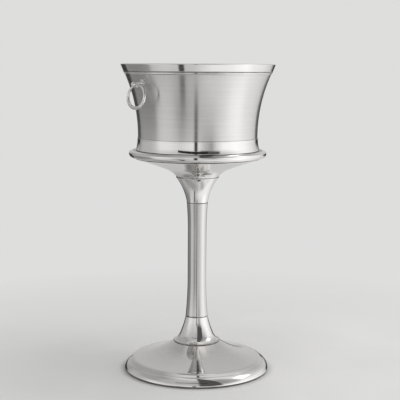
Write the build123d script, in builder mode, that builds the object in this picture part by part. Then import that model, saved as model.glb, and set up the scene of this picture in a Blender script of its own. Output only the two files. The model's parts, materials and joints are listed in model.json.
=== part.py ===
"""Champagne bucket stand: a double-walled tub with two ring handles, resting in a pedestal tray.

Millimetres, +Z up, origin on the floor at the centre of the base, handles on +X and -X.
Every spun piece is a sheet: its section is the visible outline, thickened towards the hidden side.
"""

from build123d import *
from math import atan2, cos, radians, sin, sqrt
import os

os.makedirs("parts", exist_ok=True)

# Sheet metal
STAND_SHEET = 1.5
TUB_SHEET = 1.0
SEAM = 1.0  # height of the recessed flange that shows as a dark line between two stacked pieces
EASE = 0.2  # gap left between two pieces that only touch

# Levels above the floor
PAD_HEIGHT = 3.2
BASE_SEAM_Z = 28.4
DOME_TOP_Z = 85.2
LOWER_COLLAR_Z = 87.0
STEM_BOTTOM_Z = 162.0
STEM_TOP_Z = 507.7
FLARE_SEAM_Z = 586.0
LIP_UNDER_Z = 644.8
TRAY_FLOOR_Z = 659.0
TRAY_SEAT_Z = 665.9
TUB_BOTTOM_Z = 666.0
BAND_SEAM_Z = 702.0
WAIST_Z = 709.0
RIM_SEAM_Z = 895.0
RIM_Z = 920.0

# Radii of the stand
BASE_RADIUS = 218.5
BASE_SEAM_RADIUS = 202.0
DOME_FLAT_RADIUS = 69.0
LOWER_COLLAR_RADIUS = 70.0
STEM_BOTTOM_RADIUS = 33.8
STEM_WAIST_RADIUS = 28.0
STEM_TOP_RADIUS = 31.5
FLARE_SEAM_RADIUS = 63.9
TRAY_RADIUS = 204.3
LIP_UNDER_RADIUS = 195.0
TRAY_RECESS_RADIUS = 174.0

# Radii of the tub: its side is one circular arc, narrowest at the waist
SIDE_ARC_RADIUS = 450.0
WAIST_RADIUS = 177.6
RIM_RADIUS = 228.6
RIM_SEAM_RADIUS = 219.3
FOOT_RADIUS = 183.6
WALL_GAP = 8.0
LINER_FLOOR_Z = 687.0
LINER_CORNER = 14.0

# Tie rod and its hardware
ROD_RADIUS = 5.0
ROD_HOLE_RADIUS = 5.05
ROD_CLEAR_RADIUS = 5.5
SPREADER_RADIUS = 50.0
WASHER_RADIUS = 12.0
ROD_NUT_FLAT = 8.5  # half the width across the flats

# Ballast, cover, screws and pads
BALLAST_INNER_RADIUS = 90.0
BALLAST_OUTER_RADIUS = 192.0
BALLAST_BOTTOM_Z = PAD_HEIGHT + 2
BALLAST_TOP_Z = 25.0
COVER_RADIUS = 206.0
COVER_SCREW_CIRCLE = 150.0
COVER_SCREW_RADIUS = 2.0
PAD_CIRCLE = 188.0
PAD_RADIUS = 12.0
TRAY_SCREW_CIRCLE = 45.0
TRAY_SCREW_RADIUS = 2.0
SCREW_HEAD = 1.8

SPREADER_THICKNESS = 4.0
WASHER_THICKNESS = 2.0
WASHER_TOP_Z = DOME_TOP_Z - STAND_SHEET - SPREADER_THICKNESS
NUT_HEIGHT = 8.0
ROD_BOTTOM_Z = WASHER_TOP_Z - WASHER_THICKNESS - NUT_HEIGHT - 5
ROD_TOP_Z = TRAY_FLOOR_Z - 5
SPIGOT_LENGTH = 20.0

# Handles
LUG_Z = 867.0
LUG_POST_RADIUS = 3.5
LUG_BALL_RADIUS = 6.7
LUG_POST_LENGTH = 29.0
LUG_POST_DROP = 8.0  # the post falls this many degrees below level
LUG_POST_START = 3.6  # where the post's axis leaves the foot
LUG_FOOT_RADIUS = 5.5
LUG_FOOT_THICKNESS = 2.5
LUG_FOOT = 2.5  # where the lug's body starts, measured out from the wall
STUD_RADIUS = 2.5
STUD_LENGTH = 5.8
SEAT_GAP = 0.15  # a flat piece stands this far off the curved wall at its middle
ESCUTCHEON_RADIUS = 10.0
ESCUTCHEON_THICKNESS = 2.2
HINGE_RADIUS = 224.5
HINGE_Z = 859.0
KNUCKLE_RADIUS = 6.2
KNUCKLE_BORE_RADIUS = 3.55
KNUCKLE_LENGTH = 7.0
RING_HALF_WIDTH = 38.0
RING_HALF_HEIGHT = 32.3
RING_THIN_RADIUS = 3.2
RING_THICK_RADIUS = 5.0
RING_SECTIONS = 9  # circles lofted along each half of the ring
RING_LEAN = 6.0  # the ring's lower side stands this many degrees out from hanging straight down


def side_radius(z):
    """Outer radius of the tub's side wall at height z."""
    return WAIST_RADIUS + SIDE_ARC_RADIUS - sqrt(SIDE_ARC_RADIUS**2 - (z - WAIST_Z) ** 2)


def side_arc(low_z, high_z, inset=0.0):
    """Arc of the tub's side between two heights, moved inwards by inset."""
    low, middle, high = (
        (side_radius(z) - inset, z) for z in (low_z, (low_z + high_z) / 2, high_z)
    )
    return ThreePointArc(low, middle, high)


# Plane of each handle's plate: on the side wall, facing straight out of it. Local x runs around.
LUG_SLOPE = atan2(LUG_Z - WAIST_Z, sqrt(SIDE_ARC_RADIUS**2 - (LUG_Z - WAIST_Z) ** 2))
lug_planes = [
    Plane(
        origin=(hand * side_radius(LUG_Z), 0, LUG_Z),
        x_dir=(0, hand, 0),
        z_dir=(hand * cos(LUG_SLOPE), 0, -sin(LUG_SLOPE)),
    )
    for hand in (1, -1)
]


# --- Base -------------------------------------------------------------------------------------

with BuildPart() as base_dome:
    with BuildSketch(Plane.XZ):
        with BuildLine():
            flat = Line((ROD_CLEAR_RADIUS, DOME_TOP_Z), (DOME_FLAT_RADIUS, DOME_TOP_Z))
            slope = ThreePointArc(flat @ 1, (125, 54.6), (186, 37.4))
            shoulder = TangentArc(slope @ 1, (195.8, 33.2), tangent=slope % 1)
            Line(shoulder @ 1, (BASE_SEAM_RADIUS, BASE_SEAM_Z))
            offset(amount=STAND_SHEET, side=Side.RIGHT)
        make_face()
    revolve(axis=Axis.Z)

with BuildPart() as base_edge_band:
    with BuildSketch(Plane.XZ):
        with BuildLine():
            bottom_z = PAD_HEIGHT + 0.6
            start = (BASE_SEAM_RADIUS + 0.35, BASE_SEAM_Z - 0.3)
            roll = ThreePointArc(start, (214.4, 16.2), (BASE_RADIUS, 7))
            heel = ThreePointArc(roll @ 1, (218, 4.9), (216, bottom_z))
            Line(heel @ 1, (COVER_RADIUS + 1.2, bottom_z))
            offset(amount=STAND_SHEET, side=Side.RIGHT)
        make_face()
    revolve(axis=Axis.Z)

with BuildPart() as base_weight:
    with BuildSketch(Plane.XY.offset(BALLAST_BOTTOM_Z)):
        Circle(BALLAST_OUTER_RADIUS)
        Circle(BALLAST_INNER_RADIUS, mode=Mode.SUBTRACT)
        with PolarLocations(COVER_SCREW_CIRCLE, 4):
            Circle(COVER_SCREW_RADIUS + 0.05, mode=Mode.SUBTRACT)
    extrude(amount=BALLAST_TOP_Z - BALLAST_BOTTOM_Z)
    chamfer(base_weight.edges().group_by(Axis.Z)[-1].sort_by(SortBy.RADIUS)[-1], 3)

with BuildPart() as base_cover:
    with BuildSketch(Plane.XY.offset(PAD_HEIGHT)):
        Circle(COVER_RADIUS)
        with PolarLocations(COVER_SCREW_CIRCLE, 4):
            Circle(COVER_SCREW_RADIUS + 0.3, mode=Mode.SUBTRACT)
    extrude(amount=STAND_SHEET)

with BuildPart() as cover_screws:
    with BuildSketch(Plane.XY.offset(PAD_HEIGHT)):
        with PolarLocations(COVER_SCREW_CIRCLE, 4):
            Circle(2 * COVER_SCREW_RADIUS)
    extrude(amount=-SCREW_HEAD)
    with BuildSketch(Plane.XY.offset(PAD_HEIGHT)):
        with PolarLocations(COVER_SCREW_CIRCLE, 4):
            Circle(COVER_SCREW_RADIUS)
    extrude(amount=14)

with BuildPart() as floor_pads:
    with BuildSketch():
        with PolarLocations(PAD_CIRCLE, 6, start_angle=30):
            Circle(PAD_RADIUS)
    extrude(amount=PAD_HEIGHT)
    chamfer(floor_pads.edges().group_by(Axis.Z)[0], 0.6)

# --- Column -----------------------------------------------------------------------------------

with BuildPart() as spreader_plate:
    with BuildSketch(Plane.XY.offset(DOME_TOP_Z - STAND_SHEET)):
        Circle(SPREADER_RADIUS)
        Circle(ROD_CLEAR_RADIUS, mode=Mode.SUBTRACT)
    extrude(amount=-SPREADER_THICKNESS)

with BuildPart() as rod_washer:
    with BuildSketch(Plane.XY.offset(WASHER_TOP_Z)):
        Circle(WASHER_RADIUS)
        Circle(ROD_CLEAR_RADIUS, mode=Mode.SUBTRACT)
    extrude(amount=-WASHER_THICKNESS)

with BuildPart() as rod_nut:
    with BuildSketch(Plane.XY.offset(WASHER_TOP_Z - WASHER_THICKNESS)):
        RegularPolygon(ROD_NUT_FLAT, 6, major_radius=False)
        Circle(ROD_HOLE_RADIUS, mode=Mode.SUBTRACT)
    extrude(amount=-NUT_HEIGHT)

with BuildPart() as tie_rod:
    with BuildSketch(Plane.XY.offset(ROD_BOTTOM_Z)):
        Circle(ROD_RADIUS)
    extrude(amount=ROD_TOP_Z - ROD_BOTTOM_Z)
    chamfer(tie_rod.edges().filter_by(GeomType.CIRCLE), 0.8)

with BuildPart() as lower_hub:
    with BuildSketch(Plane.XZ):
        with BuildLine():
            Polyline(
                (ROD_CLEAR_RADIUS, DOME_TOP_Z),
                (58, DOME_TOP_Z),
                (58, DOME_TOP_Z + 5),
                (26, DOME_TOP_Z + 12),
                (26, STEM_BOTTOM_Z - SEAM),
                (STEM_BOTTOM_RADIUS - 0.8, STEM_BOTTOM_Z - SEAM),
                (STEM_BOTTOM_RADIUS - 0.8, STEM_BOTTOM_Z),
                (25.5, STEM_BOTTOM_Z),
                (25, STEM_BOTTOM_Z + SPIGOT_LENGTH),
                (ROD_CLEAR_RADIUS, STEM_BOTTOM_Z + SPIGOT_LENGTH),
                close=True,
            )
        make_face()
    revolve(axis=Axis.Z)

with BuildPart() as lower_collar:
    with BuildSketch(Plane.XZ):
        with BuildLine():
            lip = Line(
                (STEM_BOTTOM_RADIUS, STEM_BOTTOM_Z - SEAM - EASE), (STEM_BOTTOM_RADIUS, STEM_BOTTOM_Z - 3)
            )
            skirt = ThreePointArc(lip @ 1, (41.5, 131.5), (51.3, 106))
            TangentArc(skirt @ 1, (LOWER_COLLAR_RADIUS, LOWER_COLLAR_Z), tangent=skirt % 1)
            offset(amount=STAND_SHEET, side=Side.RIGHT)
        make_face()
    revolve(axis=Axis.Z)

with BuildPart() as stem_tube:
    with BuildSketch(Plane.XZ):
        with BuildLine():
            ankle = ThreePointArc(
                (STEM_BOTTOM_RADIUS, STEM_BOTTOM_Z + EASE), (29.45, 222.5), (STEM_WAIST_RADIUS, 284)
            )
            waist = Line(ankle @ 1, (STEM_WAIST_RADIUS, 424))
            TangentArc(waist @ 1, (STEM_TOP_RADIUS, STEM_TOP_Z - EASE), tangent=(0, 1))
            offset(amount=STAND_SHEET, side=Side.LEFT)
        make_face()
    revolve(axis=Axis.Z)

with BuildPart() as upper_hub:
    with BuildSketch(Plane.XZ):
        with BuildLine():
            Polyline(
                (ROD_CLEAR_RADIUS, STEM_TOP_Z - SPIGOT_LENGTH),
                (25, STEM_TOP_Z - SPIGOT_LENGTH),
                (25.5, STEM_TOP_Z),
                (STEM_TOP_RADIUS - 0.8, STEM_TOP_Z),
                (STEM_TOP_RADIUS - 0.8, STEM_TOP_Z + SEAM),
                (24, STEM_TOP_Z + SEAM),
                (24, FLARE_SEAM_Z - 12),
                (46, FLARE_SEAM_Z - 0.5 * SEAM),
                (FLARE_SEAM_RADIUS - 0.8, FLARE_SEAM_Z - 0.5 * SEAM),
                (FLARE_SEAM_RADIUS - 0.8, FLARE_SEAM_Z + 0.5 * SEAM),
                (ROD_CLEAR_RADIUS, FLARE_SEAM_Z + 0.5 * SEAM),
                close=True,
            )
        make_face()
    revolve(axis=Axis.Z)

with BuildPart() as upper_collar:
    with BuildSketch(Plane.XZ):
        with BuildLine():
            throat = Line(
                (STEM_TOP_RADIUS, STEM_TOP_Z + SEAM + EASE), (STEM_TOP_RADIUS, STEM_TOP_Z + SEAM + 1.7)
            )
            bell = ThreePointArc(
                throat @ 1, (40.8, 543.5), (FLARE_SEAM_RADIUS, FLARE_SEAM_Z - 0.5 * SEAM - 1.2)
            )
            Line(bell @ 1, (FLARE_SEAM_RADIUS, FLARE_SEAM_Z - 0.5 * SEAM - EASE))
            offset(amount=STAND_SHEET, side=Side.LEFT)
        make_face()
    revolve(axis=Axis.Z)

# --- Tray -------------------------------------------------------------------------------------

with BuildPart() as tray_flare:
    with BuildSketch(Plane.XZ):
        with BuildLine():
            neck = Line(
                (FLARE_SEAM_RADIUS, FLARE_SEAM_Z + 0.5 * SEAM + EASE),
                (FLARE_SEAM_RADIUS, FLARE_SEAM_Z + 0.5 * SEAM + 1.5),
            )
            horn = TangentArc(neck @ 1, (97, 610.6), tangent=(1, 1.1))
            TangentArc(horn @ 1, (LIP_UNDER_RADIUS - 10, LIP_UNDER_Z - 4.2), tangent=horn % 1)
            offset(amount=STAND_SHEET, side=Side.LEFT)
        make_face()
    revolve(axis=Axis.Z)

with BuildPart() as tray:
    with BuildSketch(Plane.XZ):
        with BuildLine():
            floor = Line((0, TRAY_FLOOR_Z), (TRAY_RECESS_RADIUS, TRAY_FLOOR_Z))
            step = Line(floor @ 1, (TRAY_RECESS_RADIUS + 2, TRAY_SEAT_Z))
            seat = Line(step @ 1, (187, TRAY_SEAT_Z))
            crown = ThreePointArc(seat @ 1, (196.4, 665.1), (201.6, 663))
            nose = ThreePointArc(crown @ 1, (203.7, 660.8), (TRAY_RADIUS, 657.6))
            lip = ThreePointArc(nose @ 1, (202.6, 650.2), (LIP_UNDER_RADIUS, LIP_UNDER_Z))
            Line(lip @ 1, (LIP_UNDER_RADIUS - 9, LIP_UNDER_Z - 1.4))
            offset(amount=STAND_SHEET, side=Side.RIGHT)
        make_face()
    revolve(axis=Axis.Z)
    with Locations((0, 0, TRAY_FLOOR_Z)):
        with PolarLocations(TRAY_SCREW_CIRCLE, 4):
            Hole(TRAY_SCREW_RADIUS + EASE, depth=2 * STAND_SHEET)

with BuildPart() as tray_hub:
    with BuildSketch(Plane.XZ):
        with BuildLine():
            Polyline(
                (ROD_HOLE_RADIUS, FLARE_SEAM_Z + 0.5 * SEAM),
                (57, FLARE_SEAM_Z + 0.5 * SEAM),
                (57, FLARE_SEAM_Z + 6),
                (28, FLARE_SEAM_Z + 18),
                (28, TRAY_FLOOR_Z - 22),
                (60, TRAY_FLOOR_Z - 8),
                (60, TRAY_FLOOR_Z - STAND_SHEET),
                (ROD_HOLE_RADIUS, TRAY_FLOOR_Z - STAND_SHEET),
                close=True,
            )
        make_face()
    revolve(axis=Axis.Z)
    with Locations((0, 0, TRAY_FLOOR_Z - STAND_SHEET)):
        with PolarLocations(TRAY_SCREW_CIRCLE, 4):
            Hole(TRAY_SCREW_RADIUS + 0.05, depth=10)

with BuildPart() as tray_screws:
    with BuildSketch(Plane.XY.offset(TRAY_FLOOR_Z)):
        with PolarLocations(TRAY_SCREW_CIRCLE, 4):
            Circle(2 * TRAY_SCREW_RADIUS)
    extrude(amount=SCREW_HEAD)
    with BuildSketch(Plane.XY.offset(TRAY_FLOOR_Z)):
        with PolarLocations(TRAY_SCREW_CIRCLE, 4):
            Circle(TRAY_SCREW_RADIUS)
    extrude(amount=-8)

# --- Tub --------------------------------------------------------------------------------------

with BuildPart() as outer_wall:
    with BuildSketch(Plane.XZ):
        with BuildLine():
            side_arc(BAND_SEAM_Z - 7, RIM_SEAM_Z + 2)
            offset(amount=TUB_SHEET, side=Side.LEFT)
        make_face()
    revolve(axis=Axis.Z)
    for plane in lug_planes:
        with Locations(plane):
            Hole(STUD_RADIUS + EASE, depth=10)

with BuildPart() as inner_liner:
    with BuildSketch(Plane.XZ):
        with BuildLine():
            inset = WALL_GAP + TUB_SHEET
            corner_z = LINER_FLOOR_Z + LINER_CORNER
            corner_x = side_radius(corner_z) - inset
            base = Line((0, LINER_FLOOR_Z), (corner_x - LINER_CORNER, LINER_FLOOR_Z))
            ThreePointArc(
                base @ 1,
                (corner_x - LINER_CORNER * (1 - sin(radians(45))), corner_z - LINER_CORNER * cos(radians(45))),
                (corner_x, corner_z),
            )
            wall = side_arc(corner_z, RIM_SEAM_Z + 17, inset)
            brow = ThreePointArc(wall @ 1, (RIM_RADIUS - 3.4, RIM_Z), (RIM_RADIUS, RIM_Z - 1.6))
            Line(brow @ 1, (RIM_SEAM_RADIUS, RIM_SEAM_Z))
            offset(amount=TUB_SHEET, side=Side.RIGHT)
        make_face()
    revolve(axis=Axis.Z)

with BuildPart() as foot_band:
    with BuildSketch(Plane.XZ):
        with BuildLine():
            top_radius = side_radius(BAND_SEAM_Z) + 1.3
            band = ThreePointArc((top_radius, BAND_SEAM_Z), (180.2, 683), (FOOT_RADIUS, TUB_BOTTOM_Z + 1.8))
            heel = ThreePointArc(band @ 1, (183.2, TUB_BOTTOM_Z + 0.5), (182, TUB_BOTTOM_Z))
            Line(heel @ 1, (TRAY_RECESS_RADIUS + 1, TUB_BOTTOM_Z))
            offset(amount=TUB_SHEET, side=Side.RIGHT)
        make_face()
    revolve(axis=Axis.Z)

with BuildPart() as tub_base:
    with BuildSketch(Plane.XZ):
        with BuildLine():
            Polyline(
                (0, TUB_BOTTOM_Z - 3.5),
                (TRAY_RECESS_RADIUS - 6, TUB_BOTTOM_Z - 3.5),
                (TRAY_RECESS_RADIUS - 3, TUB_BOTTOM_Z + TUB_SHEET + 0.1),
                (TRAY_RECESS_RADIUS + 4, TUB_BOTTOM_Z + TUB_SHEET + 0.1),
            )
            offset(amount=TUB_SHEET, side=Side.LEFT)
        make_face()
    revolve(axis=Axis.Z)

# --- Handles ----------------------------------------------------------------------------------
# The right-hand pieces are drawn; the left-hand ones are the same pieces turned half way round.

right_plane = lug_planes[0]
post_plane = Plane(
    origin=right_plane.offset(LUG_POST_START).origin,
    x_dir=(0, 1, 0),
    z_dir=(cos(radians(LUG_POST_DROP)), 0, -sin(radians(LUG_POST_DROP))),
)
ring_down = Vector(sin(radians(RING_LEAN)), 0, -cos(radians(RING_LEAN)))
hinge_centre = Vector(HINGE_RADIUS, 0, HINGE_Z)
ring_centre = hinge_centre + ring_down * RING_HALF_HEIGHT

with BuildPart() as right_escutcheon:
    with BuildSketch(right_plane.offset(SEAT_GAP)):
        Circle(ESCUTCHEON_RADIUS)
        Circle(STUD_RADIUS + EASE, mode=Mode.SUBTRACT)
    extrude(amount=ESCUTCHEON_THICKNESS)
    fillet(right_escutcheon.faces().sort_by(Axis.X)[-1].edges().sort_by(SortBy.RADIUS)[-1], 1.2)

with BuildPart() as right_lug:
    with BuildSketch(right_plane.offset(-STUD_LENGTH)):
        Circle(STUD_RADIUS)
    extrude(amount=STUD_LENGTH + LUG_FOOT)
    with BuildSketch(right_plane.offset(LUG_FOOT)):
        Circle(LUG_FOOT_RADIUS)
    extrude(amount=LUG_FOOT_THICKNESS)
    with BuildSketch(post_plane):
        Circle(LUG_POST_RADIUS)
    extrude(amount=LUG_POST_LENGTH)
    with Locations(post_plane.offset(LUG_POST_LENGTH)):
        Sphere(LUG_BALL_RADIUS)
    with BuildSketch(Plane.XZ.offset(-KNUCKLE_LENGTH / 2)):
        with Locations((HINGE_RADIUS, HINGE_Z)):
            Circle(KNUCKLE_RADIUS)
    extrude(amount=KNUCKLE_LENGTH)
    with BuildSketch(Plane.XZ.offset(-KNUCKLE_LENGTH)):
        with Locations((HINGE_RADIUS, HINGE_Z)):
            Circle(KNUCKLE_BORE_RADIUS)
    extrude(amount=2 * KNUCKLE_LENGTH, mode=Mode.SUBTRACT)

with BuildPart() as lug_washers:
    for plane in lug_planes:
        with BuildSketch(plane.offset(-TUB_SHEET - SEAT_GAP)):
            Circle(6)
            Circle(STUD_RADIUS + EASE, mode=Mode.SUBTRACT)
    extrude(amount=-1)

with BuildPart() as lug_nuts:
    for plane in lug_planes:
        with BuildSketch(plane.offset(-TUB_SHEET - SEAT_GAP - 1)):
            RegularPolygon(4.5, 6, major_radius=False)
            Circle(STUD_RADIUS + 0.05, mode=Mode.SUBTRACT)
    extrude(amount=-2.6)

with BuildPart() as right_ring:
    sideways = Vector(0, 1, 0)
    middle = 0.5 * (RING_THICK_RADIUS + RING_THIN_RADIUS)
    swell = 0.5 * (RING_THICK_RADIUS - RING_THIN_RADIUS)
    for start in (0, 180):
        for step in range(RING_SECTIONS):
            turn = radians(start + step * 180 / (RING_SECTIONS - 1))
            down = ring_down * RING_HALF_HEIGHT
            across = sideways * RING_HALF_WIDTH
            section = Plane(
                origin=ring_centre + across * sin(turn) - down * cos(turn),
                x_dir=ring_down.cross(sideways),
                z_dir=across * cos(turn) + down * sin(turn),
            )
            with BuildSketch(section):
                Circle(middle - swell * cos(turn))
        loft()

with BuildPart() as left_escutcheon:
    add(right_escutcheon.part, rotation=(0, 0, 180))

with BuildPart() as left_lug:
    add(right_lug.part, rotation=(0, 0, 180))

with BuildPart() as left_ring:
    add(right_ring.part, rotation=(0, 0, 180))

# --- Write each piece -------------------------------------------------------------------------

pieces = {
    "base_dome": base_dome,
    "base_edge_band": base_edge_band,
    "base_weight": base_weight,
    "base_cover": base_cover,
    "cover_screws": cover_screws,
    "floor_pads": floor_pads,
    "spreader_plate": spreader_plate,
    "rod_washer": rod_washer,
    "rod_nut": rod_nut,
    "tie_rod": tie_rod,
    "lower_hub": lower_hub,
    "lower_collar": lower_collar,
    "stem_tube": stem_tube,
    "upper_hub": upper_hub,
    "upper_collar": upper_collar,
    "tray_flare": tray_flare,
    "tray": tray,
    "tray_hub": tray_hub,
    "tray_screws": tray_screws,
    "outer_wall": outer_wall,
    "inner_liner": inner_liner,
    "foot_band": foot_band,
    "tub_base": tub_base,
    "right_escutcheon": right_escutcheon,
    "left_escutcheon": left_escutcheon,
    "right_lug": right_lug,
    "left_lug": left_lug,
    "lug_washers": lug_washers,
    "lug_nuts": lug_nuts,
    "right_ring": right_ring,
    "left_ring": left_ring,
}
for name, piece in pieces.items():
    piece.part.label = name
    export_step(piece.part, f"parts/{name}.step")
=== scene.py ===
"""Champagne bucket stand: polished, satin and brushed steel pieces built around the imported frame.

Every spun piece is lathed from its own section, drawn in millimetres as (radius, height) points and
thickened into a sheet with rounded edges. Everything else is turned, extruded or blended in bmesh.
"""

import json
import math

import bmesh
import bpy
import numpy as np
from mathutils import Matrix, Vector


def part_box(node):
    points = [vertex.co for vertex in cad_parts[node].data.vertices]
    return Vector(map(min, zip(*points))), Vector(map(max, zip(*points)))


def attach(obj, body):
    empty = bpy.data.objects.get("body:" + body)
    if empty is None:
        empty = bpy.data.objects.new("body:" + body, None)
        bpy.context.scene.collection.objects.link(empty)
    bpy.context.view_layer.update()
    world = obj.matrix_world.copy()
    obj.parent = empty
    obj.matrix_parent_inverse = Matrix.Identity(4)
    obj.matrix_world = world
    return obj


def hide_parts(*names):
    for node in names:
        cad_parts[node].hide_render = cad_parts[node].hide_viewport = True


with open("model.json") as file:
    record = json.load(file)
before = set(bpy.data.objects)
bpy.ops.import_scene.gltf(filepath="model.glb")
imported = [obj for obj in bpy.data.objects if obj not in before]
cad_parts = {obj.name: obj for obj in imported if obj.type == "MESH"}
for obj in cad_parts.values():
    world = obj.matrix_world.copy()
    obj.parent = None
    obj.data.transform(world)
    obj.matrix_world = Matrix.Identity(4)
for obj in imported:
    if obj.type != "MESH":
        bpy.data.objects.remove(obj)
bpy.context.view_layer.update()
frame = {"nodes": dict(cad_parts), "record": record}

MM = 0.001
TURNS = 240  # segments round a lathed piece
STAND_SHEET = 1.5
TUB_SHEET = 1.0


def box_mm(node):
    """A CAD node's largest radius, lowest and highest level, in millimetres."""
    low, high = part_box(node)
    return high.x / MM, low.z / MM, high.z / MM


# --- Sections: lists of (radius, height) points in millimetres ---------------------------------


def line(start, end, count=2):
    """Points along a straight line."""
    steps = np.linspace(0.0, 1.0, count)
    return [(start[0] + (end[0] - start[0]) * t, start[1] + (end[1] - start[1]) * t) for t in steps]


def arc(start, middle, end, count=24):
    """Points along the circle through three points, from the first to the last."""
    (ax, ay), (bx, by), (cx, cy) = start, middle, end
    d = 2 * (ax * (by - cy) + bx * (cy - ay) + cx * (ay - by))
    ux = ((ax**2 + ay**2) * (by - cy) + (bx**2 + by**2) * (cy - ay) + (cx**2 + cy**2) * (ay - by)) / d
    uy = ((ax**2 + ay**2) * (cx - bx) + (bx**2 + by**2) * (ax - cx) + (cx**2 + cy**2) * (bx - ax)) / d
    radius = math.hypot(ax - ux, ay - uy)
    first = math.atan2(ay - uy, ax - ux)
    last = math.atan2(cy - uy, cx - ux)
    via = math.atan2(by - uy, bx - ux)
    turn = (last - first) % (2 * math.pi)
    if (via - first) % (2 * math.pi) > turn:
        turn -= 2 * math.pi
    angles = np.linspace(first, first + turn, count)
    return [(ux + radius * math.cos(a), uy + radius * math.sin(a)) for a in angles]


def leaving(start, heading, end, count=24):
    """Points along the arc that leaves start along heading and ends at end."""
    hx, hy = Vector(heading).normalized()
    dx, dy = end[0] - start[0], end[1] - start[1]
    side = hx * dy - hy * dx
    if abs(side) < 1e-6:
        return line(start, end, count)
    radius = (dx * dx + dy * dy) / (2 * side)
    centre = (start[0] - hy * radius, start[1] + hx * radius)
    half = math.atan2(side, hx * dx + hy * dy)
    first = math.atan2(start[1] - centre[1], start[0] - centre[0])
    angles = np.linspace(first, first + 2 * half, count)
    reach = abs(radius)
    return [(centre[0] + reach * math.cos(a), centre[1] + reach * math.sin(a)) for a in angles]


def chain(*runs):
    """One outline from several runs, with repeated points left out."""
    points = []
    for run in runs:
        for point in run:
            if not points or math.dist(points[-1], point) > 1e-4:
                points.append(point)
    return points


def rounded(corners, radius, count=6):
    """A closed outline through corners, each rounded by the same radius."""
    points = []
    total = len(corners)
    for i, corner in enumerate(corners):
        here = Vector(corner)
        back = Vector(corners[i - 1]) - here
        ahead = Vector(corners[(i + 1) % total]) - here
        bend = back.angle(ahead)
        reach = min(radius / math.tan(bend / 2), 0.45 * back.length, 0.45 * ahead.length)
        start = here + back.normalized() * reach
        end = here + ahead.normalized() * reach
        depth = 0.5 * (1 - math.sin(bend / 2)) / max(math.cos(bend / 2) ** 2, 1e-6)
        bulge = here + (start + end - 2 * here) * depth
        if abs(bend - math.pi) < 0.05:
            points.append(tuple(here))
        else:
            points += arc(tuple(start), tuple(bulge), tuple(end), count)
    return points


def sheet(outline, thickness, inward=1):
    """A closed section: the outline, thickened to its right (inward=1) or left (-1), with rounded ends."""
    points = np.array(outline)
    heading = np.gradient(points, axis=0)
    heading /= np.linalg.norm(heading, axis=1)[:, None]
    normal = np.stack([heading[:, 1], -heading[:, 0]], axis=1) * inward
    hidden = points + normal * thickness
    loop = [tuple(p) for p in points]
    loop += round_end(points[-1], hidden[-1], heading[-1])
    loop += [tuple(p) for p in hidden[::-1]]
    if points[0][0] > 1e-3:
        loop += round_end(hidden[0], points[0], -heading[0])
    return loop


def round_end(start, end, outwards, count=5):
    """Points of a half circle from start to end that bulges outwards, without its own ends."""
    centre = (start + end) / 2
    spoke = start - centre
    bulge = outwards * np.linalg.norm(spoke)
    angles = np.linspace(0, math.pi, count + 2)[1:-1]
    return [tuple(centre + spoke * math.cos(a) + bulge * math.sin(a)) for a in angles]


# --- Meshes -------------------------------------------------------------------------------------


def finish_mesh(bm, name):
    """Turns a bmesh into a linked, smooth-shaded object with outward normals."""
    bmesh.ops.recalc_face_normals(bm, faces=bm.faces)
    mesh = bpy.data.meshes.new(name)
    bm.to_mesh(mesh)
    bm.free()
    mesh.shade_smooth()
    piece = bpy.data.objects.new(name, mesh)
    bpy.context.scene.collection.objects.link(piece)
    return piece


def lathe_into(bm, section, place=Matrix.Identity(4), turns=TURNS):
    """Revolves a closed section about its own Z, then places it. Points on the axis become one vertex."""
    rings = []
    for radius, height in section:
        if radius < 1e-3:
            rings.append([bm.verts.new(place @ Vector((0, 0, height * MM)))])
            continue
        ring = []
        for i in range(turns):
            angle = 2 * math.pi * i / turns
            spot = Vector((radius * math.cos(angle), radius * math.sin(angle), height)) * MM
            ring.append(bm.verts.new(place @ spot))
        rings.append(ring)
    for a, b in zip(rings, rings[1:] + rings[:1]):
        if len(a) == 1 and len(b) == 1:
            continue
        for i in range(turns):
            j = (i + 1) % turns
            corners = [a[i % len(a)], a[j % len(a)], b[j % len(b)], b[i % len(b)]]
            bm.faces.new(list(dict.fromkeys(corners)))


def lathe(name, section, place=Matrix.Identity(4), turns=TURNS):
    """A new object made by revolving one closed section."""
    bm = bmesh.new()
    lathe_into(bm, section, place, turns)
    return finish_mesh(bm, name)


def settle(piece, body, node, material):
    """The piece rides on its body, stands for its CAD node and takes its material."""
    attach(piece, body)
    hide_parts(node)
    piece.data.materials.clear()
    piece.data.materials.append(material)


def refinish(piece, material, chosen):
    """Gives the faces whose centre in millimetres is chosen a second material."""
    piece.data.materials.append(material)
    for face in piece.data.polygons:
        if chosen(face.center / MM):
            face.material_index = 1


# --- Materials ----------------------------------------------------------------------------------


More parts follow.
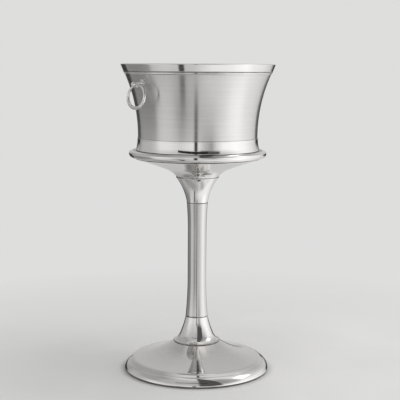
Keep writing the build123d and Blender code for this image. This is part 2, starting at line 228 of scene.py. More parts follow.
class Shader:
    """A small wrapper that adds nodes to one material and links them."""

    def __init__(self, name):
        self.material = bpy.data.materials.new(name)
        self.material.use_nodes = True
        self.tree = self.material.node_tree
        self.tree.nodes.clear()
        output = self.tree.nodes.new("ShaderNodeOutputMaterial")
        self.surface = self.tree.nodes.new("ShaderNodeBsdfPrincipled")
        self.link(self.surface.outputs[0], output.inputs["Surface"])

    def link(self, source, target):
        """Joins an output to an input."""
        self.tree.links.new(source, target)

    def feed(self, target, value):
        """Sets an input to a plain value, or links it when the value is an output."""
        if isinstance(value, bpy.types.NodeSocket):
            self.link(value, target)
        else:
            target.default_value = value

    def math(self, operation, a, b=0.0, c=0.0):
        """One step of arithmetic."""
        node = self.tree.nodes.new("ShaderNodeMath")
        node.operation = operation
        for target, value in zip(node.inputs, (a, b, c)):
            self.feed(target, value)
        return node.outputs[0]

    def position(self):
        """Where the surface is, in metres from the origin on the floor."""
        node = self.tree.nodes.new("ShaderNodeTexCoord")
        return node.outputs["Object"]

    def split(self, vector):
        """The x, y and z of a vector."""
        node = self.tree.nodes.new("ShaderNodeSeparateXYZ")
        self.link(vector, node.inputs[0])
        return node.outputs

    def join(self, x, y, z):
        """A vector from its x, y and z."""
        node = self.tree.nodes.new("ShaderNodeCombineXYZ")
        for target, value in zip(node.inputs, (x, y, z)):
            self.feed(target, value)
        return node.outputs[0]

    def reach(self, x, y):
        """Distance from the Z axis."""
        return self.math("SQRT", self.math("ADD", self.math("MULTIPLY", x, x), self.math("MULTIPLY", y, y)))

    def noise(self, vector, scale, detail=3.0, roughness=0.55, distortion=0.0):
        """Soft noise from 0 to 1."""
        node = self.tree.nodes.new("ShaderNodeTexNoise")
        self.link(vector, node.inputs["Vector"])
        node.inputs["Scale"].default_value = scale
        node.inputs["Detail"].default_value = detail
        node.inputs["Roughness"].default_value = roughness
        node.inputs["Distortion"].default_value = distortion
        return node.outputs["Fac"]

    def spread(self, value, low, high, to_low=0.0, to_high=1.0):
        """Maps low..high to to_low..to_high and holds it there beyond them."""
        node = self.tree.nodes.new("ShaderNodeMapRange")
        for target, item in zip(node.inputs, (value, low, high, to_low, to_high)):
            self.feed(target, item)
        return node.outputs[0]

    def mix(self, share, a, b):
        """Blends two colours or values by share."""
        node = self.tree.nodes.new("ShaderNodeMix")
        node.data_type = "RGBA"
        self.feed(node.inputs[0], share)
        self.feed(node.inputs[6], a)
        self.feed(node.inputs[7], b)
        return node.outputs[2]

    def bump(self, height, strength, distance, normal=None):
        """A normal roughened by height, on top of another normal if there is one."""
        node = self.tree.nodes.new("ShaderNodeBump")
        node.inputs["Strength"].default_value = strength
        node.inputs["Distance"].default_value = distance
        self.link(height, node.inputs["Height"])
        if normal is not None:
            self.link(normal, node.inputs["Normal"])
        return node.outputs[0]

    def edge_wear(self):
        """1 on sharp outer edges, 0 elsewhere."""
        node = self.tree.nodes.new("ShaderNodeNewGeometry")
        return self.spread(node.outputs["Pointiness"], 0.53, 0.62)

    def set(self, **inputs):
        """Feeds the surface's inputs by name, with underscores for spaces."""
        for name, value in inputs.items():
            self.feed(self.surface.inputs[name.replace("_", " ")], value)


def grey(level, warmth=0.0):
    """A grey colour, slightly warm when warmth is above zero."""
    return (level * (1 + warmth), level, level * (1 - warmth), 1.0)


def turned_lines(shader, across, around):
    """Noise drawn out round the Z axis: about across lines a metre, and around streaks a turn."""
    x, y, z = shader.split(shader.position())
    radius = shader.reach(x, y)
    safe = shader.math("MAXIMUM", radius, 0.0005)
    level = shader.math("ADD", z, shader.math("MULTIPLY", radius, 0.7))
    return shader.join(
        shader.math("MULTIPLY", shader.math("DIVIDE", x, safe), around),
        shader.math("MULTIPLY", shader.math("DIVIDE", y, safe), around),
        shader.math("MULTIPLY", level, across),
    )


def seam_painted_shade(shader, seams):
    """How much painted shade darkens the seams where shadow falls between parts, uneven round the turn."""
    z = shader.split(shader.position())[2]
    uneven = shader.spread(shader.noise(shader.position(), 45.0, detail=3.0), 0.3, 0.7, 0.75, 1.0)
    seam_shade = 0.0
    for level, half, strength in seams:
        off = shader.math("ABSOLUTE", shader.math("SUBTRACT", z, level * MM))
        seam_shade = shader.math("MAXIMUM", seam_shade, shader.spread(off, half * MM, 0.45 * half * MM, 0.0, strength))
    return shader.math("MULTIPLY", seam_shade, uneven)


def steel(
    name,
    level,
    roughness,
    lines,
    line_bump,
    stretch=0.0,
    smudge=0.05,
    ripple=0.0,
    around=3.0,
    seams=(),
    contrast=0.06,
):
    """Stainless steel with turned or brushed lines, smudges, faint ripples, painted shade in the seams and
    worn edges.
    """
    shader = Shader(name)
    vector = turned_lines(shader, lines, around)
    fine = shader.noise(vector, 1.0, detail=3.0, roughness=0.6)
    cloud = shader.noise(shader.position(), 9.0, detail=4.0, distortion=0.4)
    wear = shader.edge_wear()
    tone = shader.mix(
        shader.spread(fine, 0.3, 0.7),
        grey(level * (1 - contrast), 0.018),
        grey(min(level * (1 + contrast), 0.97), 0.018),
    )
    tone = shader.mix(shader.math("MULTIPLY", wear, 0.5), tone, grey(min(level * 1.15, 0.98)))
    uneven = 0.12 * roughness
    rough = shader.math("ADD", roughness, shader.spread(fine, 0.25, 0.75, -uneven, uneven))
    rough = shader.math("ADD", rough, shader.spread(cloud, 0.45, 0.75, 0.0, smudge))
    if seams:
        # painted shade: the colour darkens along the seams, where shadow falls between parts
        seam_shade = seam_painted_shade(shader, seams)
        tone = shader.mix(seam_shade, tone, grey(0.05, 0.02))
        rough = shader.math("MAXIMUM", rough, shader.math("MULTIPLY", seam_shade, 0.5))
    normal = shader.bump(fine, line_bump, 0.0004)
    if ripple:
        wave = shader.noise(shader.position(), 26.0, detail=1.0)
        normal = shader.bump(wave, ripple, 0.002, normal)
    shader.set(Base_Color=tone, Metallic=1.0, Roughness=rough, Normal=normal)
    if stretch:
        tangent = shader.tree.nodes.new("ShaderNodeTangent")
        tangent.direction_type = "RADIAL"
        tangent.axis = "Z"
        shader.set(Anisotropic=stretch, Anisotropic_Rotation=0.25, Tangent=tangent.outputs[0])
    return shader.material


def cast_metal(name, level, roughness, grain):
    """Cast or mill-finished metal: pitted bump, mottled tone, brighter edges."""
    shader = Shader(name)
    pits = shader.noise(shader.position(), grain, detail=6.0, roughness=0.65)
    mottle = shader.noise(shader.position(), 18.0, detail=3.0)
    tone = shader.mix(shader.spread(mottle, 0.35, 0.65), grey(level * 0.8, 0.01), grey(level * 1.15))
    tone = shader.mix(shader.edge_wear(), tone, grey(min(level * 1.5, 0.9)))
    rough = shader.spread(pits, 0.3, 0.7, roughness * 0.85, min(roughness * 1.2, 1.0))
    shader.set(Base_Color=tone, Metallic=1.0, Roughness=rough, Normal=shader.bump(pits, 0.5, 0.0004))
    return shader.material


def rubber(name):
    """Matte black rubber with a fine moulded grain and a little dust."""
    shader = Shader(name)
    grain = shader.noise(shader.position(), 900.0, detail=4.0)
    dust = shader.noise(shader.position(), 60.0, detail=3.0)
    tone = shader.mix(shader.spread(dust, 0.5, 0.8), grey(0.018), grey(0.05, 0.03))
    rough = shader.spread(dust, 0.3, 0.8, 0.6, 0.9)
    shader.set(Base_Color=tone, Roughness=rough, Normal=shader.bump(grain, 0.4, 0.0002))
    return shader.material


# Seams darkened by painted shade: height, half width and strength, in millimetres
SEAMS = (
    # painted contact shadow: a dark band round the base's bottom edge, where it meets the floor
    (4.4, 1.9, 0.95),
    (28.3, 0.6, 0.2),
    (87.0, 1.2, 0.8),
    (162.0, 1.6, 1.0),
    (508.3, 1.6, 1.0),
    (586.0, 1.5, 0.9),
    (666.4, 0.8, 0.75),
    (703.0, 0.9, 0.5),
    (896.5, 1.3, 1.0),
)
polished = steel("polished_steel", 0.80, 0.05, 700.0, 0.02, ripple=0.012, smudge=0.04, seams=SEAMS)
brushed = steel(
    "brushed_steel",
    0.70,
    0.22,
    420.0,
    0.05,
    stretch=0.95,
    smudge=0.02,
    around=0.8,
    seams=SEAMS,
    contrast=0.05,
)
satin = steel("satin_steel", 0.67, 0.11, 900.0, 0.03, stretch=0.4, smudge=0.04, seams=SEAMS, contrast=0.03)
dome_finish = steel(
    "dome_steel", 0.76, 0.06, 900.0, 0.02, smudge=0.05, ripple=0.008, seams=SEAMS, contrast=0.03
)
tub_inside = steel("tub_inside_steel", 0.72, 0.16, 900.0, 0.03, stretch=0.2, smudge=0.06)
bare = steel("bare_steel", 0.5, 0.38, 900.0, 0.08, smudge=0.12)
zinc = steel("zinc_hardware", 0.6, 0.3, 1200.0, 0.05, smudge=0.12)
aluminium = steel("hub_aluminium", 0.6, 0.3, 1600.0, 0.1, smudge=0.06)
iron = cast_metal("cast_iron", 0.12, 0.62, 420.0)
pad_rubber = rubber("black_rubber")

# --- Base ---------------------------------------------------------------------------------------


def build_base():
    """The dome with its sloping side, and the rolled band round its edge."""
    dome_radius, dome_low, dome_high = box_mm("base_dome")
    flat_end = (69.0, dome_high)
    slope = arc(flat_end, (125, 54.6), (186, 37.4), 60)
    ease = arc((65.0, dome_high), (67.1, dome_high - 0.12), slope[2], 6)
    heading = (slope[-1][0] - slope[-2][0], slope[-1][1] - slope[-2][1])
    shoulder = leaving(slope[-1], heading, (195.8, 33.2), 16)
    seam = (dome_radius, dome_low + 1.2)
    flat = line((5.5, dome_high), (65.0, dome_high), 8)
    dome = chain(flat, ease, slope[2:], shoulder, line(shoulder[-1], seam, 8))
    piece = lathe("base_dome_spun", sheet(dome, STAND_SHEET))
    settle(piece, "stand", "base_dome", dome_finish)

    band_radius, band_low, _ = box_mm("base_edge_band")
    start = (seam[0] + 0.3, seam[1] - 0.26)
    band = chain(
        arc(start, (214.4, 16.2), (band_radius, 7.0), 36),
        arc((band_radius, 7.0), (band_radius - 0.5, 4.9), (216, band_low), 8),
        line((216, band_low), (207.2, band_low), 4),
    )
    edge = lathe("base_edge_band_spun", sheet(band, STAND_SHEET))
    settle(edge, "stand", "base_edge_band", polished)


# --- Column -------------------------------------------------------------------------------------


def build_column():
    """The waisted stem tube between two trumpet collars."""
    foot_radius, foot_low, foot_high = box_mm("stem_tube")
    head_radius = 31.5
    stem = chain(
        arc((foot_radius, foot_low + 0.3), (29.45, 222.5), (28.0, 284), 28),
        line((28.0, 284), (28.0, 424), 24),
        leaving((28.0, 424), (0, 1), (head_radius, foot_high - 0.2), 24),
    )
    settle(lathe("stem_tube_spun", sheet(stem, STAND_SHEET, -1)), "stand", "stem_tube", satin)

    skirt_radius, _, skirt_high = box_mm("lower_collar")
    waist = (51.3, 106.0)
    skirt = arc((foot_radius, skirt_high - 1.8), (41.5, 131.5), waist, 32)
    heading = (waist[0] - skirt[-2][0], waist[1] - skirt[-2][1])
    lower = chain(
        line((foot_radius, skirt_high), skirt[0], 3), skirt, leaving(waist, heading, (skirt_radius, 87.0), 24)
    )
    collar = lathe("lower_collar_spun", sheet(lower, STAND_SHEET))
    settle(collar, "stand", "lower_collar", polished)

    bell_radius, bell_low, bell_high = box_mm("upper_collar")
    bell_end = (bell_radius, bell_high - 1.0)
    upper = chain(
        line((head_radius, bell_low), (head_radius, bell_low + 1.5), 3),
        arc((head_radius, bell_low + 1.5), (40.8, 543.5), bell_end, 48),
        line(bell_end, (bell_radius, bell_high), 3),
    )
    collar = lathe("upper_collar_spun", sheet(upper, STAND_SHEET, -1))
    settle(collar, "stand", "upper_collar", polished)


# --- Tray ---------------------------------------------------------------------------------------


def build_tray():
    """The flare under the tray and the tray with its rolled edge; the tray's hidden floor is satin."""
    neck_radius = 63.9
    flare_radius, neck_z, _ = box_mm("tray_flare")
    horn = leaving((neck_radius, neck_z + 1.3), (1, 1.1), (97, 610.6), 30)
    heading = (horn[-1][0] - horn[-2][0], horn[-1][1] - horn[-2][1])
    flare = chain(
        line((neck_radius, neck_z), horn[0], 3), horn, leaving(horn[-1], heading, (flare_radius, 640.6), 40)
    )
    piece = lathe("tray_flare_spun", sheet(flare, STAND_SHEET, -1))
    settle(piece, "stand", "tray_flare", polished)

    floor = 659.0
    seat = 665.9
    saucer = chain(
        line((0, floor), (171.5, floor), 30),
        arc((171.5, floor), (173.4, floor + 0.6), (174.3, floor + 2.2), 6),
        line((174.3, floor + 2.2), (175.4, seat - 2.0), 3),
        arc((175.4, seat - 2.0), (176.4, seat - 0.4), (178.2, seat), 6),
        line((178.2, seat), (187, seat), 6),
        arc((187, seat), (196.4, 665.1), (201.6, 663.0), 16),
        arc((201.6, 663.0), (203.7, 660.8), (204.3, 657.6), 12),
        arc((204.3, 657.6), (202.6, 650.2), (195, 644.8), 18),
        line((195, 644.8), (186, 643.4), 5),
    )
    piece = lathe("tray_spun", sheet(saucer, STAND_SHEET))
    settle(piece, "stand", "tray", polished)
    refinish(piece, tub_inside, lambda spot: math.hypot(spot.x, spot.y) < 176.0)


# --- Tub ----------------------------------------------------------------------------------------

WAIST_Z = 709.0
WAIST_RADIUS = 177.6
SIDE_ARC = 450.0
RIM_SEAM = (219.3, 895.0)


def side_radius(z):
    """Outer radius of the tub's side wall at height z."""
    return WAIST_RADIUS + SIDE_ARC - math.sqrt(SIDE_ARC**2 - (z - WAIST_Z) ** 2)


def side_run(low, high, inset, count):
    """Points up the tub's side, set in from its outer face."""
    return [(side_radius(z) - inset, z) for z in np.linspace(low, high, count)]


def inside_tub(spot):
    """Whether a place in millimetres is on the liner's inner side, below the rim."""
    return spot.z < 909 and math.hypot(spot.x, spot.y) < side_radius(spot.z) - 5


def build_tub():
    """The brushed wall with its bead, the liner with the rim band, and the foot band."""
    _, wall_low, wall_high = box_mm("outer_wall")
    seam_radius, seam_z = RIM_SEAM
    bead_low = seam_z - 4.8
    bead_high = seam_z - 0.6
    bead = arc(
        (side_radius(bead_low), bead_low),
        (side_radius(bead_low) + 2.3, (bead_low + bead_high) / 2 - 0.3),
        (side_radius(bead_high), bead_high),
        14,
    )
    above = side_run(bead_high + 0.4, wall_high - 0.3, 0.0, 8)
    wall = chain(side_run(wall_low, bead_low, 0.0, 90), bead, above)
    piece = lathe("outer_wall_spun", sheet(wall, TUB_SHEET, -1))
    settle(piece, "tub", "outer_wall", brushed)
    refinish(piece, polished, lambda spot: spot.z > bead_low + 0.2)

    rim_radius, liner_low, rim_z = box_mm("inner_liner")
    floor = liner_low + TUB_SHEET
    corner = 14.0
    inset = 9.0
    side = side_radius(floor + corner) - inset
    bend = side - corner
    shrink = corner * math.sqrt(0.5)
    side_top = (side_radius(912.0) - inset, 912.0)
    rim_edge = (rim_radius, rim_z - 1.7)
    band_end = (seam_radius + 1.0, seam_z + 2.9)
    groove = (seam_radius + 0.7, seam_z + 1.7)
    liner = chain(
        line((0, floor), (bend, floor), 24),
        arc((bend, floor), (bend + shrink, floor + corner - shrink), (side, floor + corner), 12),
        side_run(floor + corner, 912.0, inset, 80),
        arc(side_top, (rim_radius - 3.4, rim_z - 0.1), rim_edge, 14),
        line(rim_edge, band_end, 16),
        arc(band_end, (seam_radius + 0.5, seam_z + 2.2), groove, 5),
        arc(groove, (seam_radius + 1.2, seam_z + 0.7), RIM_SEAM, 8),
    )
    piece = lathe("inner_liner_spun", sheet(liner, TUB_SHEET * 0.9))
    settle(piece, "tub", "inner_liner", polished)
    refinish(piece, tub_inside, inside_tub)

    top = side_radius(702.0) + 1.3
    foot = chain(
        arc((top, 702.0), (180.2, 683), (183.6, 667.8), 30),
        arc((183.6, 667.8), (183.2, 666.5), (182, 666.0), 6),
        line((182, 666.0), (175, 666.0), 4),
    )
    settle(lathe("foot_band_spun", sheet(foot, TUB_SHEET)), "tub", "foot_band", polished)


# --- Handles ------------------------------------------------------------------------------------

HINGE = Vector((224.5, 0, 859.0))
RING_HALF_WIDTH = 38.0
RING_HALF_HEIGHT = 32.3
RING_THIN = 3.2
RING_THICK = 5.0
RING_LEAN = math.radians(6)
LUG_Z = 867.0
POST_START = 3.6
POST_LENGTH = 29.0
POST_DROP = math.radians(8)
HALF_TURN = Matrix.Rotation(math.pi, 4, "Z")


def ring_mesh(name, place):
    """A ring whose wire swells from the hinge to the far side."""
    down = Vector((math.sin(RING_LEAN), 0, -math.cos(RING_LEAN)))
    outward = down.cross(Vector((0, 1, 0)))
    centre = HINGE + down * RING_HALF_HEIGHT
    tall = down * RING_HALF_HEIGHT
    wide = Vector((0, RING_HALF_WIDTH, 0))
    steps = 144
    sides = 32
    bm = bmesh.new()
    loops = []
    for i in range(steps):
        turn = 2 * math.pi * i / steps
        spot = centre - tall * math.cos(turn) + wide * math.sin(turn)
        spoke = (tall * math.sin(turn) + wide * math.cos(turn)).normalized().cross(outward)
        wire = (RING_THICK + RING_THIN) / 2 - (RING_THICK - RING_THIN) / 2 * math.cos(turn)
        loop = []
        for k in range(sides):
            a = 2 * math.pi * k / sides
            skin = spot + spoke * (wire * math.cos(a)) + outward * (wire * math.sin(a))
            loop.append(bm.verts.new(place @ (skin * MM)))
        loops.append(loop)
    for a, b in zip(loops, loops[1:] + loops[:1]):
        for k in range(sides):
            n = (k + 1) % sides
            bm.faces.new((a[k], a[n], b[n], b[k]))
    return finish_mesh(bm, name)


def lug_frame():
    """Local Z along the lug, out of the wall."""
    slope = math.atan2(LUG_Z - WAIST_Z, math.sqrt(SIDE_ARC**2 - (LUG_Z - WAIST_Z) ** 2))
    out = Vector((math.cos(slope), 0, -math.sin(slope)))
    across = Vector((0, 1, 0))
    turn = Matrix((across, out.cross(across), out)).transposed().to_4x4()
    origin = Vector((side_radius(LUG_Z), 0, LUG_Z)) * MM
    return Matrix.Translation(origin) @ turn


def lug_mesh(name, place):
    """A turned foot on the wall, a post with a ball end and the knuckle under it, blended as one casting."""
    frame_lug = lug_frame()
    start = frame_lug @ Vector((0, 0, POST_START * MM))
    along = Vector((math.cos(POST_DROP), 0, -math.sin(POST_DROP)))
    across = Vector((0, 1, 0))
    turn = Matrix((across, along.cross(across), along)).transposed().to_4x4()
    frame_post = Matrix.Translation(start) @ turn
    ball = 6.6
    neck = 3.5
    meet = POST_LENGTH - math.sqrt(ball**2 - neck**2)
    collar = 5.4
    collar_z = POST_LENGTH - math.sqrt(ball**2 - collar**2)
    post = chain(
        line((0, -0.6), (4.6, -0.6), 4),
        arc((4.6, -0.6), (4.3, 1.6), (neck, 4.0), 8),
        line((neck, 4.0), (neck, meet - 1.2), 8),
        arc((neck, meet - 1.2), (neck + 0.4, meet - 0.2), (neck + 1.2, meet + 0.5), 4),
        arc((collar, collar_z), (ball, POST_LENGTH), (0, POST_LENGTH + ball), 22),
    )
    foot = chain(
        line((0, 2.6), (5.0, 2.6), 3),
        arc((5.0, 2.6), (5.28, 2.72), (5.4, 3.0), 4),
        arc((5.4, 3.8), (5.1, 4.6), (4.4, 5.0), 6),
        line((4.4, 5.0), (0, 5.0), 3),
    )
    bm = bmesh.new()
    lathe_into(bm, foot, frame_lug, 64)
    lathe_into(bm, post, frame_post, 64)
    barrel = rounded([(3.6, -3.5), (6.15, -3.5), (6.15, 3.5), (3.6, 3.5)], 0.7)
    along_y = Matrix.Translation(HINGE * MM) @ Matrix.Rotation(math.pi / 2, 4, "X")
    lathe_into(bm, barrel, along_y, 64)
    bmesh.ops.transform(bm, matrix=place, verts=bm.verts)
    piece = finish_mesh(bm, name)
    melt(piece)
    drill = lathe("drill", [(0, -8), (3.6, -8), (3.6, 8), (0, 8)], place @ along_y, 96)
    bore = piece.modifiers.new("bore", "BOOLEAN")
    bore.operation = "DIFFERENCE"
    bore.solver = "EXACT"
    bore.object = drill
    melt(piece)
    ease = piece.modifiers.new("ease", "SMOOTH")
    ease.factor = 0.5
    ease.iterations = 5
    apply_modifiers(piece)
    bpy.data.objects.remove(drill)
    return piece


def melt(piece):
    """Joins a piece's overlapping solids into one skin."""
    remesh = piece.modifiers.new("melt", "REMESH")
    remesh.mode = "VOXEL"
    remesh.voxel_size = 0.27 * MM
    remesh.use_smooth_shade = True


def apply_modifiers(piece):
    """Bakes a piece's modifiers into its mesh."""
    bpy.context.view_layer.update()
    shape = bpy.data.meshes.new_from_object(piece.evaluated_get(bpy.context.evaluated_depsgraph_get()))
    piece.modifiers.clear()
    piece.data = shape
    piece.data.shade_smooth()


def escutcheon_mesh(name, place):
    """Round plate with a stepped, softly domed face."""
    face = chain(
        line((2.7, 0.15), (9.6, 0.15), 4),
        arc((9.6, 0.15), (10.0, 0.6), (10.0, 1.2), 5),
        arc((10.0, 1.2), (9.6, 1.9), (8.9, 2.05), 6),
        arc((8.9, 2.05), (8.2, 1.75), (7.6, 2.0), 6),
        arc((7.6, 2.0), (6.6, 2.3), (5.0, 2.35), 6),
        line((5.0, 2.35), (2.7, 2.35), 3),
    )
    return lathe(name, face, place @ lug_frame(), 96)


def build_handles():
    """Ring, lug and rosette on each side; the left ones are the right ones turned half round."""
    for side, place in (("right", Matrix.Identity(4)), ("left", HALF_TURN)):
        ring = ring_mesh(f"{side}_ring_wire", place)
        settle(ring, f"{side}_ring_handle", f"{side}_ring", polished)
        lug = lug_mesh(f"{side}_lug_casting", place)
        settle(lug, "tub", f"{side}_lug", polished)
        plate = escutcheon_mesh(f"{side}_escutcheon_plate", place)
        settle(plate, "tub", f"{side}_escutcheon", polished)


# --- Pieces kept from the frame -----------------------------------------------------------------


def paint_kept_nodes():
    """Hardware whose CAD shape is right keeps it and takes its slot's material."""
    finishes = {
        "cast_iron": iron,
        "bare_steel": bare,
        "zinc_hardware": zinc,
        "black_rubber": pad_rubber,
        "hub_aluminium": aluminium,
        "satin_steel": satin,
        "polished_steel": polished,
        "brushed_steel": brushed,
    }
    slots = {s["node"]: s["material_slot"] for s in frame["record"]["subparts"]}
    for node, piece in frame["nodes"].items():
        piece.data.materials.clear()
        piece.data.materials.append(finishes[slots[node]])


# --- Studio -------------------------------------------------------------------------------------

VIEW_AZIMUTH = math.radians(-40.5)
CAMERA_DISTANCE = 2.973
CAMERA_HEIGHT = 0.911
CAMERA_PITCH = math.radians(7.58)
CAMERA_YAW = math.radians(0.156)
CAMERA_ROLL = math.radians(0.33)
LENS = 90.0
BACKGROUND = 0.73
FLOOR_RADIUS = 7  # metres

# Level directions from the object towards the camera and to the camera's right
TOWARD = Vector((math.sin(VIEW_AZIMUTH), -math.cos(VIEW_AZIMUTH), 0))
RIGHT = Vector((math.cos(VIEW_AZIMUTH), math.sin(VIEW_AZIMUTH), 0))


def place_camera():
    """Camera just below the rim's height, looking slightly down."""
    data = bpy.data.cameras.new("camera")
    data.lens = LENS
    data.sensor_width = 36.0
    camera = bpy.data.objects.new("camera", data)
    bpy.context.scene.collection.objects.link(camera)
    heading = CAMERA_YAW - VIEW_AZIMUTH
    level = Vector((math.sin(heading), math.cos(heading), 0))
    right = Vector((math.cos(heading), -math.sin(heading), 0))
    forward = level * math.cos(CAMERA_PITCH) - Vector((0, 0, math.sin(CAMERA_PITCH)))
    up = level * math.sin(CAMERA_PITCH) + Vector((0, 0, math.cos(CAMERA_PITCH)))
    x_axis = right * math.cos(CAMERA_ROLL) + up * math.sin(CAMERA_ROLL)
    y_axis = up * math.cos(CAMERA_ROLL) - right * math.sin(CAMERA_ROLL)
    spot = TOWARD * CAMERA_DISTANCE
    spot.z = CAMERA_HEIGHT
    turn = Matrix((x_axis, y_axis, -forward)).transposed().to_4x4()
    camera.matrix_world = Matrix.Translation(spot) @ turn
    bpy.context.scene.camera = camera


class World(Shader):
    """The studio as a shader on the world: a pale room with soft boxes and dark flags."""

    def __init__(self):
        self.world = bpy.data.worlds.new("studio")
        bpy.context.scene.world = self.world
        self.world.use_nodes = True
        self.tree = self.world.node_tree
        self.tree.nodes.clear()
        self.output = self.tree.nodes.new("ShaderNodeOutputWorld")
        direction = self.tree.nodes.new("ShaderNodeTexCoord").outputs["Generated"]
        x, y, z = self.split(direction)
        ahead = self.math("ADD", self.math("MULTIPLY", x, TOWARD.x), self.math("MULTIPLY", y, TOWARD.y))
        across = self.math("ADD", self.math("MULTIPLY", x, RIGHT.x), self.math("MULTIPLY", y, RIGHT.y))
        self.azimuth = self.math("MULTIPLY", self.math("ARCTAN2", across, ahead), 180 / math.pi)
        self.elevation = self.math("MULTIPLY", self.math("ARCSINE", z), 180 / math.pi)

    def round_room(self, stops):
        """Light level by azimuth, from (degrees, level) stops."""
        ramp = self.tree.nodes.new("ShaderNodeValToRGB")
        self.link(self.spread(self.azimuth, -180, 180), ramp.inputs[0])
        elements = ramp.color_ramp.elements
        while len(elements) < len(stops):
            elements.new(0.5)
        for element, (angle, level) in zip(elements, stops):
            element.position = (angle + 180) / 360
            element.color = (level / 2, level / 2, level / 2, 1)
        return self.math("MULTIPLY", ramp.outputs[0], 2.0)

    def blend(self, share, a, b):
        """Blends two light levels by share."""
        node = self.tree.nodes.new("ShaderNodeMix")
        node.data_type = "FLOAT"
        self.feed(node.inputs[0], share)
        self.feed(node.inputs[2], a)
        self.feed(node.inputs[3], b)
        return node.outputs[0]

    def window(self, value, centre, half, soft):
        """1 inside centre +- half, easing to 0 over soft."""
        off = self.math("ABSOLUTE", self.math("SUBTRACT", value, centre))
        return self.spread(off, half + soft / 2, half - soft / 2)

    def panel(self, light, centre, half, low, high, level, soft):
        """Blends the light towards level inside a window of azimuth and elevation, in degrees."""
        mask = self.math(
            "MULTIPLY",
            self.window(self.azimuth, centre, half, soft),
            self.window(self.elevation, (low + high) / 2, (high - low) / 2, soft),
        )
        return self.blend(mask, light, level)


# Light by azimuth in degrees, counted from the camera's side and positive to its right: the walls at
# eye level, the foot of the walls, the floor further out, the floor close by, and the wall tops.
ROOM_LEVEL = (
    (-180, 0.62), (-138, 0.36), (-124, 0.50), (-100, 0.53), (-88, 0.62), (-74, 0.90), (-55, 0.90),
    (-32, 0.76), (-12, 0.90), (4, 0.82), (13, 0.58), (26, 0.38), (36, 0.78), (48, 1.08), (75, 1.22),
    (98, 1.15), (122, 0.90), (142, 0.62), (180, 0.62),
)
ROOM_LOW = (
    (-180, 0.60), (-134, 0.26), (-112, 0.26), (-88, 0.28), (-80, 0.62), (-66, 0.74), (-50, 0.66),
    (-38, 0.44), (-30, 0.33), (-22, 0.46), (-10, 0.56), (9, 0.64), (22, 0.72), (36, 0.82), (52, 0.98),
    (66, 1.22), (84, 1.28), (100, 1.04), (126, 0.90), (142, 0.70), (180, 0.60),
)
ROOM_FLOOR = (
    (-180, 0.62), (-136, 0.36), (-124, 0.46), (-92, 0.45), (-78, 0.54), (-56, 0.68), (-40, 0.64), (-18, 0.62),
    (-6, 0.66), (8, 0.80), (25, 0.95), (50, 1.00), (90, 1.05), (130, 1.00), (155, 0.90), (180, 0.62),
)
ROOM_STEEP = (
    (-180, 0.58), (-150, 0.28), (-125, 0.24), (-88, 0.36), (-58, 0.37), (-31, 0.38), (-2, 0.50), (24, 0.68),
    (52, 0.46), (84, 0.88), (135, 0.82), (180, 0.58),
)
ROOM_HIGH = (
    (-180, 0.60), (-156, 0.52), (-140, 0.42), (-118, 0.42), (-80, 0.38), (-62, 0.50), (-15, 0.53), (0, 0.48),
    (20, 0.45), (52, 0.34), (72, 0.46), (86, 0.90), (112, 0.72), (140, 0.52), (180, 0.58),
)


# Flags and windows in the room, in degrees: centre, half width, low, high, light level and softness
PANELS = (
    (-153, 13, -21, 0, 0.05, 4),  # dark edge behind the left side
    (158, 15, -10, 0, 0.05, 5),  # dark edge behind the right side
    (-29, 5, -52, -28, 0.08, 3),  # dark block left of the camera
    (-3, 3, -34, 20, 0.05, 3),  # dark stand beside the camera
    (24, 19, 18, 96, 0.09, 5),  # dark ceiling piece
    (180, 24, -86, -48, 0.22, 8),  # dim floor behind the object
    (96, 14, 31, 52, 1.7, 5),  # bright window on the right
)


def build_world():
    """The room's light in rings, from the walls down to the floor and up to the ceiling."""
    world = World()
    up = world.elevation
    light = world.blend(world.spread(up, -2, -10), world.round_room(ROOM_LEVEL), world.round_room(ROOM_LOW))
    light = world.blend(world.spread(up, -28, -42), light, world.round_room(ROOM_FLOOR))
    light = world.blend(world.spread(up, -47, -56), light, world.round_room(ROOM_STEEP))
    light = world.blend(world.spread(up, 12, 30), light, world.round_room(ROOM_HIGH))
    light = world.blend(world.spread(up, -66, -86), light, 0.70)
    light = world.blend(world.spread(up, 60, 80), light, 0.75)
    for centre, half, low, high, level, soft in PANELS:
        light = world.panel(light, centre, half, low, high, level, soft)
    bright = world.tree.nodes.new("ShaderNodeBackground")
    world.feed(bright.inputs["Color"], light)
    plain = world.tree.nodes.new("ShaderNodeBackground")
    plain.inputs["Color"].default_value = (BACKGROUND, BACKGROUND * 0.998, BACKGROUND * 0.985, 1)
    path = world.tree.nodes.new("ShaderNodeLightPath")
    blend = world.tree.nodes.new("ShaderNodeMixShader")
    world.link(path.outputs["Is Camera Ray"], blend.inputs[0])
    world.link(bright.outputs[0], blend.inputs[1])
    world.link(plain.outputs[0], blend.inputs[2])
    world.link(blend.outputs[0], world.output.inputs["Surface"])


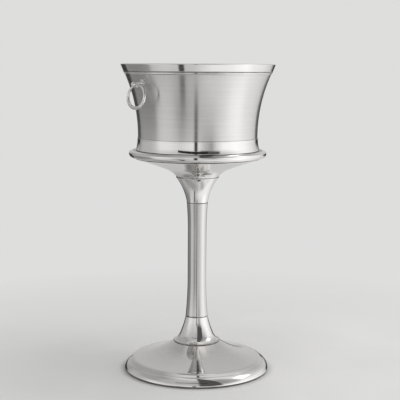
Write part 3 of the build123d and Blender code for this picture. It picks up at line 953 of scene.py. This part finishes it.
def build_floor():
    """A plain pale floor, darkened by a painted contact shadow where the base touches it, that fades into the
    background further out.
    """
    bm = bmesh.new()
    angles = np.linspace(0, 2 * math.pi, 97)[:-1]
    bm.faces.new([bm.verts.new((FLOOR_RADIUS * math.cos(a), FLOOR_RADIUS * math.sin(a), 0)) for a in angles])
    floor = finish_mesh(bm, "floor")
    shader = Shader("floor_paint")
    cloud = shader.noise(shader.position(), 2.2, detail=5.0, distortion=0.6)
    grain = shader.noise(shader.position(), 240.0, detail=3.0)
    tone = shader.mix(shader.spread(cloud, 0.3, 0.7), grey(0.76, 0.006), grey(0.81, 0.006))
    x, y, _ = shader.split(shader.position())
    reach = shader.reach(x, y)
    fade = shader.spread(reach, 0.45, 1.5)
    # painted contact shadow: the floor's colour darkens in a ring just outside the base
    painted_contact_shadow = shader.spread(reach, 0.214, 0.238, 0.35, 0.0)
    tone = shader.mix(painted_contact_shadow, tone, grey(0.2))
    dimmed = shader.mix(fade, tone, grey(0.0))
    bump = shader.bump(grain, 0.05, 0.0005)
    shader.set(Base_Color=dimmed, Roughness=0.6, Specular_IOR_Level=0.0, Normal=bump)
    shader.set(Emission_Color=grey(BACKGROUND, 0.003), Emission_Strength=fade)
    floor.data.materials.append(shader.material)
    floor.visible_glossy = False
    floor.visible_diffuse = False


def soft_box(name, spot, aim, width, height, power):
    """A soft rectangular lamp that the metal doesn't mirror."""
    data = bpy.data.lights.new(name, "AREA")
    data.shape = "RECTANGLE"
    data.size = width
    data.size_y = height
    data.energy = power
    lamp = bpy.data.objects.new(name, data)
    bpy.context.scene.collection.objects.link(lamp)
    lamp.location = spot
    lamp.rotation_euler = (Vector(aim) - Vector(spot)).to_track_quat("-Z", "Y").to_euler()
    lamp.visible_camera = False
    lamp.visible_glossy = False


def build_flag():
    """A black bar hung in front of the stand, seen only as a reflection in the tub's foot."""
    bm = bmesh.new()
    corners = ((-0.92, 1.08), (0.44, 1.08), (0.44, 1.24), (-0.92, 1.24))
    bm.faces.new([bm.verts.new(TOWARD * 1.3 + RIGHT * x + Vector((0, 0, z))) for x, z in corners])
    flag = finish_mesh(bm, "black_flag")
    shader = Shader("flag_cloth")
    weave = shader.noise(shader.position(), 400.0)
    shader.set(Base_Color=shader.mix(weave, grey(0.01), grey(0.03)), Roughness=0.9)
    flag.data.materials.append(shader.material)
    flag.visible_camera = False
    flag.visible_diffuse = False
    flag.visible_shadow = False


def build_lights():
    """One soft box from the camera's upper right and one overhead."""
    soft_box("key_box", RIGHT * 2.2 + TOWARD * 0.9 + Vector((0, 0, 1.9)), (0, 0, 0.5), 1.2, 1.6, 5)
    soft_box("overhead_box", RIGHT * 0.8 + Vector((0, 0, 2.6)), (0, 0, 0), 2.4, 2.4, 27)


build_base()
build_column()
build_tray()
build_tub()
build_handles()
paint_kept_nodes()
build_world()
build_floor()
build_flag()
build_lights()
place_camera()
bpy.context.scene.view_settings.view_transform = "Standard"
